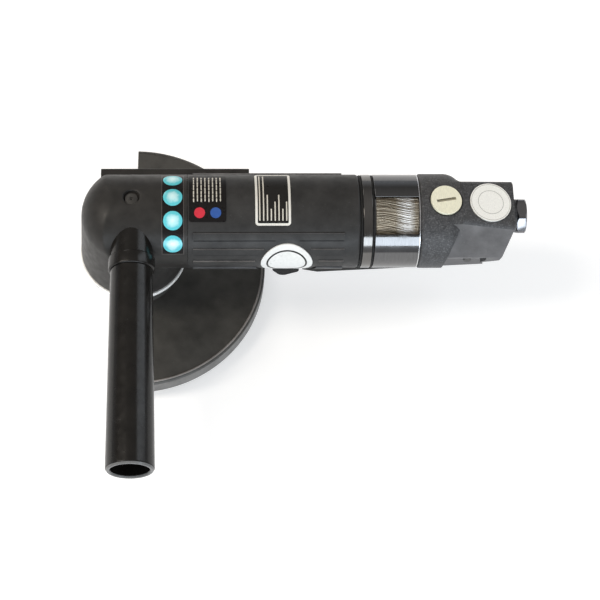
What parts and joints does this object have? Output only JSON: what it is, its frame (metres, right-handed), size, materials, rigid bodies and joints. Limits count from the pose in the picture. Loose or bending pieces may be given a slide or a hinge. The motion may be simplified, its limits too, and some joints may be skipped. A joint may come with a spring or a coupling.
{
  "type": "air angle grinder",
  "caption": "Compressed-air angle grinder with a bevel gear head, half wheel guard, hollow side handle, turning exhaust sleeve and a lever throttle with a lock tab.",
  "frame": {"origin": "on the spindle axis at the wheel seat, the inner flange's lower face", "axes": "+X from the head to the air inlet, +Z along the spindle away from the wheel, side handle towards -Y"},
  "size_m": [0.227, 0.206, 0.0908],
  "materials": {
    "head_paint": "satin black enamel on cast aluminium",
    "grip_black": "aluminium, satin black, fine texture",
    "valve_casting": "cast aluminium, rough, black",
    "handle_black": "aluminium tube, glossy black",
    "guard_black": "satin black sheet steel, worn rim",
    "retainer_metal": "turned, bright",
    "sleeve_metal": "polished, dark reflections",
    "screw_steel": "plain steel",
    "shaft_steel": "ground steel",
    "bearing_steel": "polished bearing steel",
    "motor_iron": "ground cast iron",
    "vane_composite": "laminated phenolic",
    "seal_rubber": "black rubber",
    "silencer_wire": "wound wire, brownish",
    "plug_nickel": "nickel plated, satin",
    "inlet_chrome": "chrome plated",
    "strainer_wire": "perforated sheet",
    "brass": "turned brass",
    "spring_steel": "spring wire",
    "lever_grey": "grey, satin",
    "tab_black": "black, smooth",
    "dot_turquoise": "printed film",
    "plate_silver": "thin plate with a dark field, blank",
    "label_black": "printed film, blank",
    "badge_white": "printed film, blank",
    "badge_silver": "stamped disc, blank"
  },
  "bodies": {
    "housing": {"gear_housing": "head_paint", "bearing_retainer": "retainer_metal", "retainer_screws": "screw_steel", "spindle_seal": "seal_rubber", "bearing_circlip": "screw_steel", "grease_nipple": "screw_steel", "motor_housing": "grip_black", "front_end_plate": "motor_iron", "cylinder": "motor_iron", "rear_end_plate": "motor_iron", "spacer_ring": "retainer_metal", "sleeve_o_rings": "seal_rubber", "silencer": "silencer_wire", "valve_housing": "valve_casting", "inlet_bush": "inlet_chrome", "inlet_strainer": "strainer_wire", "valve_plug": "plug_nickel", "valve_seat": "brass", "plunger_bush": "brass", "valve_spring": "spring_steel", "lever_pin": "screw_steel", "handle_collar": "head_paint", "handle_grip": "handle_black", "handle_bolt": "screw_steel", "side_rest": "head_paint", "dots": "dot_turquoise", "name_plate": "plate_silver", "side_label": "label_black", "side_badge": "badge_white", "rear_badge": "badge_silver", "lower_bearing_outer": "bearing_steel", "upper_bearing_outer": "bearing_steel", "front_bearing_outer": "bearing_steel", "rear_bearing_outer": "bearing_steel"},
    "spindle": {"spindle": "shaft_steel", "crown_gear": "shaft_steel", "gear_key": "screw_steel", "gear_circlip": "screw_steel", "inner_flange": "shaft_steel", "lower_bearing_inner": "bearing_steel", "upper_bearing_inner": "bearing_steel"},
    "rotor": {"rotor": "shaft_steel", "vanes": "vane_composite", "pinion": "shaft_steel", "front_bearing_inner": "bearing_steel", "rear_bearing_inner": "bearing_steel"},
    "lower_cage": {"lower_bearing_balls": "bearing_steel"},
    "upper_cage": {"upper_bearing_balls": "bearing_steel"},
    "front_cage": {"front_bearing_balls": "bearing_steel"},
    "rear_cage": {"rear_bearing_balls": "bearing_steel"},
    "guard": {"guard_shell": "guard_black", "guard_collar": "guard_black", "guard_clamp_screw": "screw_steel"},
    "sleeve": {"exhaust_sleeve": "sleeve_metal"},
    "lever": {"throttle_lever": "lever_grey", "lock_tab_pin": "screw_steel"},
    "lock": {"lock_tab": "tab_black", "lock_tab_spring": "spring_steel"},
    "valve": {"throttle_valve": "shaft_steel"}
  },
  "joints": [
    {"name": "spindle_spin", "type": "hinge", "parent": "housing", "child": "spindle", "pos_m": [0, 0, 0.03], "axis": [0, 0, 1], "continuous": true},
    {"name": "rotor_spin", "type": "hinge", "parent": "housing", "child": "rotor", "pos_m": [0.068, 0, 0.052], "axis": [1, 0, 0], "continuous": true},
    {"name": "lower_cage_spin", "type": "hinge", "parent": "housing", "child": "lower_cage", "pos_m": [0, 0, 0.0295], "axis": [0, 0, 1], "continuous": true},
    {"name": "upper_cage_spin", "type": "hinge", "parent": "housing", "child": "upper_cage", "pos_m": [0, 0, 0.065], "axis": [0, 0, 1], "continuous": true},
    {"name": "front_cage_spin", "type": "hinge", "parent": "housing", "child": "front_cage", "pos_m": [0.037, 0, 0.052], "axis": [1, 0, 0], "continuous": true},
    {"name": "rear_cage_spin", "type": "hinge", "parent": "housing", "child": "rear_cage", "pos_m": [0.099, 0, 0.052], "axis": [1, 0, 0], "continuous": true},
    {"name": "guard_turn", "type": "hinge", "parent": "housing", "child": "guard", "pos_m": [0, 0, 0.009], "axis": [0, 0, 1], "range_deg": [-90, 90]},
    {"name": "sleeve_turn", "type": "hinge", "parent": "housing", "child": "sleeve", "pos_m": [0.133, 0, 0.052], "axis": [1, 0, 0], "continuous": true},
    {"name": "lever_press", "type": "hinge", "parent": "housing", "child": "lever", "pos_m": [0.174, 0, 0.023], "axis": [0, 1, 0], "range_deg": [0, 7], "stiffness_Nm_per_rad": 4, "springref_deg": -5.73},
    {"name": "lock_swing", "type": "hinge", "parent": "lever", "child": "lock", "pos_m": [0.09197, 0, 0.01249], "axis": [0, 1, 0], "range_deg": [-50, 0]},
    {"name": "valve_lift", "type": "slide", "parent": "housing", "child": "valve", "axis": [0, 0, 1], "range_m": [0, 0.0022], "deforming": ["valve_spring"]}
  ],
  "couplings": [
    {"joint": "rotor_spin", "follows": "spindle_spin", "ratio": 2.2308},
    {"joint": "lower_cage_spin", "follows": "spindle_spin", "ratio": 0.388},
    {"joint": "upper_cage_spin", "follows": "spindle_spin", "ratio": 0.36933},
    {"joint": "front_cage_spin", "follows": "spindle_spin", "ratio": 0.86554},
    {"joint": "rear_cage_spin", "follows": "spindle_spin", "ratio": 0.83778},
    {"joint": "lock_swing", "follows": "lever_press", "ratio": -7},
    {"joint": "valve_lift", "follows": "lever_press", "m_per_rad": 0.0167}
  ]
}
